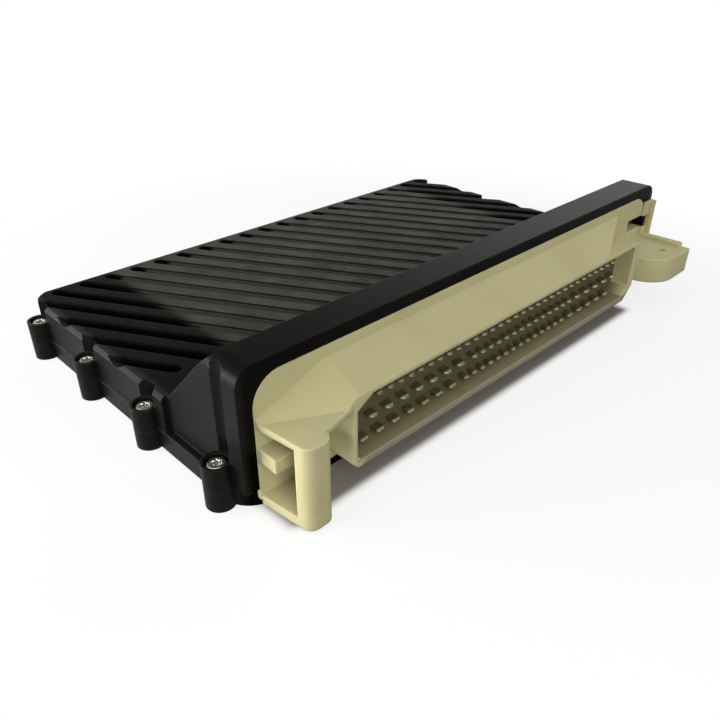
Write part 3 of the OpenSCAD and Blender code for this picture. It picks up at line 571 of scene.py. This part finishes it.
table_mesh = bpy.data.meshes.new("table")
shape = bmesh.new()
bmesh.ops.create_grid(shape, x_segments=1, y_segments=1, size=TABLE_HALF)
shape.to_mesh(table_mesh)
shape.free()
table = bpy.data.objects.new("table", table_mesh)
table.location.z = -TABLE_DROP
bpy.context.scene.collection.objects.link(table)

table_finish, tree, shader = new_finish("table_white", 0.8)
glow = add(tree, "ShaderNodeEmission", Color=WHITE, Strength=1.0)
path = add(tree, "ShaderNodeLightPath")
where = add(tree, "ShaderNodeTexCoord", name="where")
reach = add(tree, "ShaderNodeVectorMath", operation="LENGTH")
tree.links.new(where.outputs["Object"], reach.inputs[0])
far = from_to(tree, step_at(tree, reach.outputs["Value"], NEAR_REACH, FAR_REACH), NEAR_GLOW, 1.0)
across, along, up = place_on_object(tree)
under = zone(tree,
             step_at(tree, across, SHADE_LEFT, SHADE_LEFT + 6.0 * MM),
             step_at(tree, across, SHADE_RIGHT, SHADE_RIGHT - 6.0 * MM),
             step_at(tree, along, SHADE_FRONT, SHADE_FRONT + 4.0 * MM),
             step_at(tree, along, SHADE_REAR, SHADE_REAR - 10.0 * MM))
shade = add(tree, "ShaderNodeMix", data_type="RGBA")
shade.inputs["A"].default_value = TABLE_PALE
shade.inputs["B"].default_value = TABLE_SHADE
tree.links.new(under, shade.inputs["Factor"])
seen_tone = add(tree, "ShaderNodeMix", data_type="RGBA")
seen_tone.inputs["A"].default_value = TABLE_BOUNCE
tree.links.new(shade.outputs["Result"], seen_tone.inputs["B"])
tree.links.new(path.outputs["Is Camera Ray"], seen_tone.inputs["Factor"])
tree.links.new(seen_tone.outputs["Result"], shader.inputs["Base Color"])
glow_share = zone(tree, seen_directly(tree, path), far, from_to(tree, under, 1.0, SHADE_GLOW))
blend = add(tree, "ShaderNodeMixShader")
tree.links.new(glow_share, blend.inputs["Fac"])
tree.links.new(shader.outputs["BSDF"], blend.inputs[1])
tree.links.new(glow.outputs["Emission"], blend.inputs[2])
tree.links.new(blend.outputs["Shader"], tree.nodes["Material Output"].inputs["Surface"])
table_mesh.materials.append(table_finish)
print("table laid")

# %% [markdown]
# ## The surround
# The surround is white to the same rays as the table, and lights the unit only a little. The view
# transform is Standard, so that a colour shows as it is written.

# %% White surround
ROOM_LIGHT = 0.05

world = bpy.data.worlds.new("studio")
bpy.context.scene.world = world
world.use_nodes = True
tree = world.node_tree
room = tree.nodes["Background"]
room.inputs["Color"].default_value = WHITE
room.inputs["Strength"].default_value = ROOM_LIGHT
white = add(tree, "ShaderNodeBackground", Color=WHITE, Strength=1.0)
path = add(tree, "ShaderNodeLightPath")
blend = add(tree, "ShaderNodeMixShader")
tree.links.new(seen_directly(tree, path), blend.inputs["Fac"])
tree.links.new(room.outputs["Background"], blend.inputs[1])
tree.links.new(white.outputs["Background"], blend.inputs[2])
tree.links.new(blend.outputs["Shader"], tree.nodes["World Output"].inputs["Surface"])
bpy.context.scene.view_settings.view_transform = "Standard"
print("surround lights with", ROOM_LIGHT)

# %% [markdown]
# ## Soft lamps
# The light of the photograph is soft. Small lamps would give hard shadows, so all are wide area lamps.
# One hangs overhead, a low one at the left rear gives the left walls and the hook their light, one at the
# front left fills the header, and two weak ones at the right keep the lug from going dark. All aim at the
# middle of the unit.

# %% Hang the lamps
def soft_lamp(name, place, width, height, power):
    data = bpy.data.lights.new(name, "AREA")
    data.shape = "RECTANGLE"
    data.size = width
    data.size_y = height
    data.energy = power
    lamp = bpy.data.objects.new(name, data)
    lamp.location = place
    lamp.rotation_euler = (-Vector(place)).to_track_quat("-Z", "Y").to_euler()
    bpy.context.scene.collection.objects.link(lamp)


soft_lamp("overhead", (-0.25, -0.2, 0.9), 0.8, 0.8, 2.9)
soft_lamp("rear_right", (1.0, 0.75, 0.28), 1.0, 0.5, 0.7)
soft_lamp("right_side", (0.95, 0.05, 0.6), 0.7, 0.5, 2.2)
soft_lamp("left_rear", (-0.8, 0.5, 0.18), 1.2, 0.34, 18.0)
soft_lamp("front_left", (-0.45, -0.85, 0.45), 0.5, 0.5, 6.4)
print("lamps:", len(bpy.data.lights))
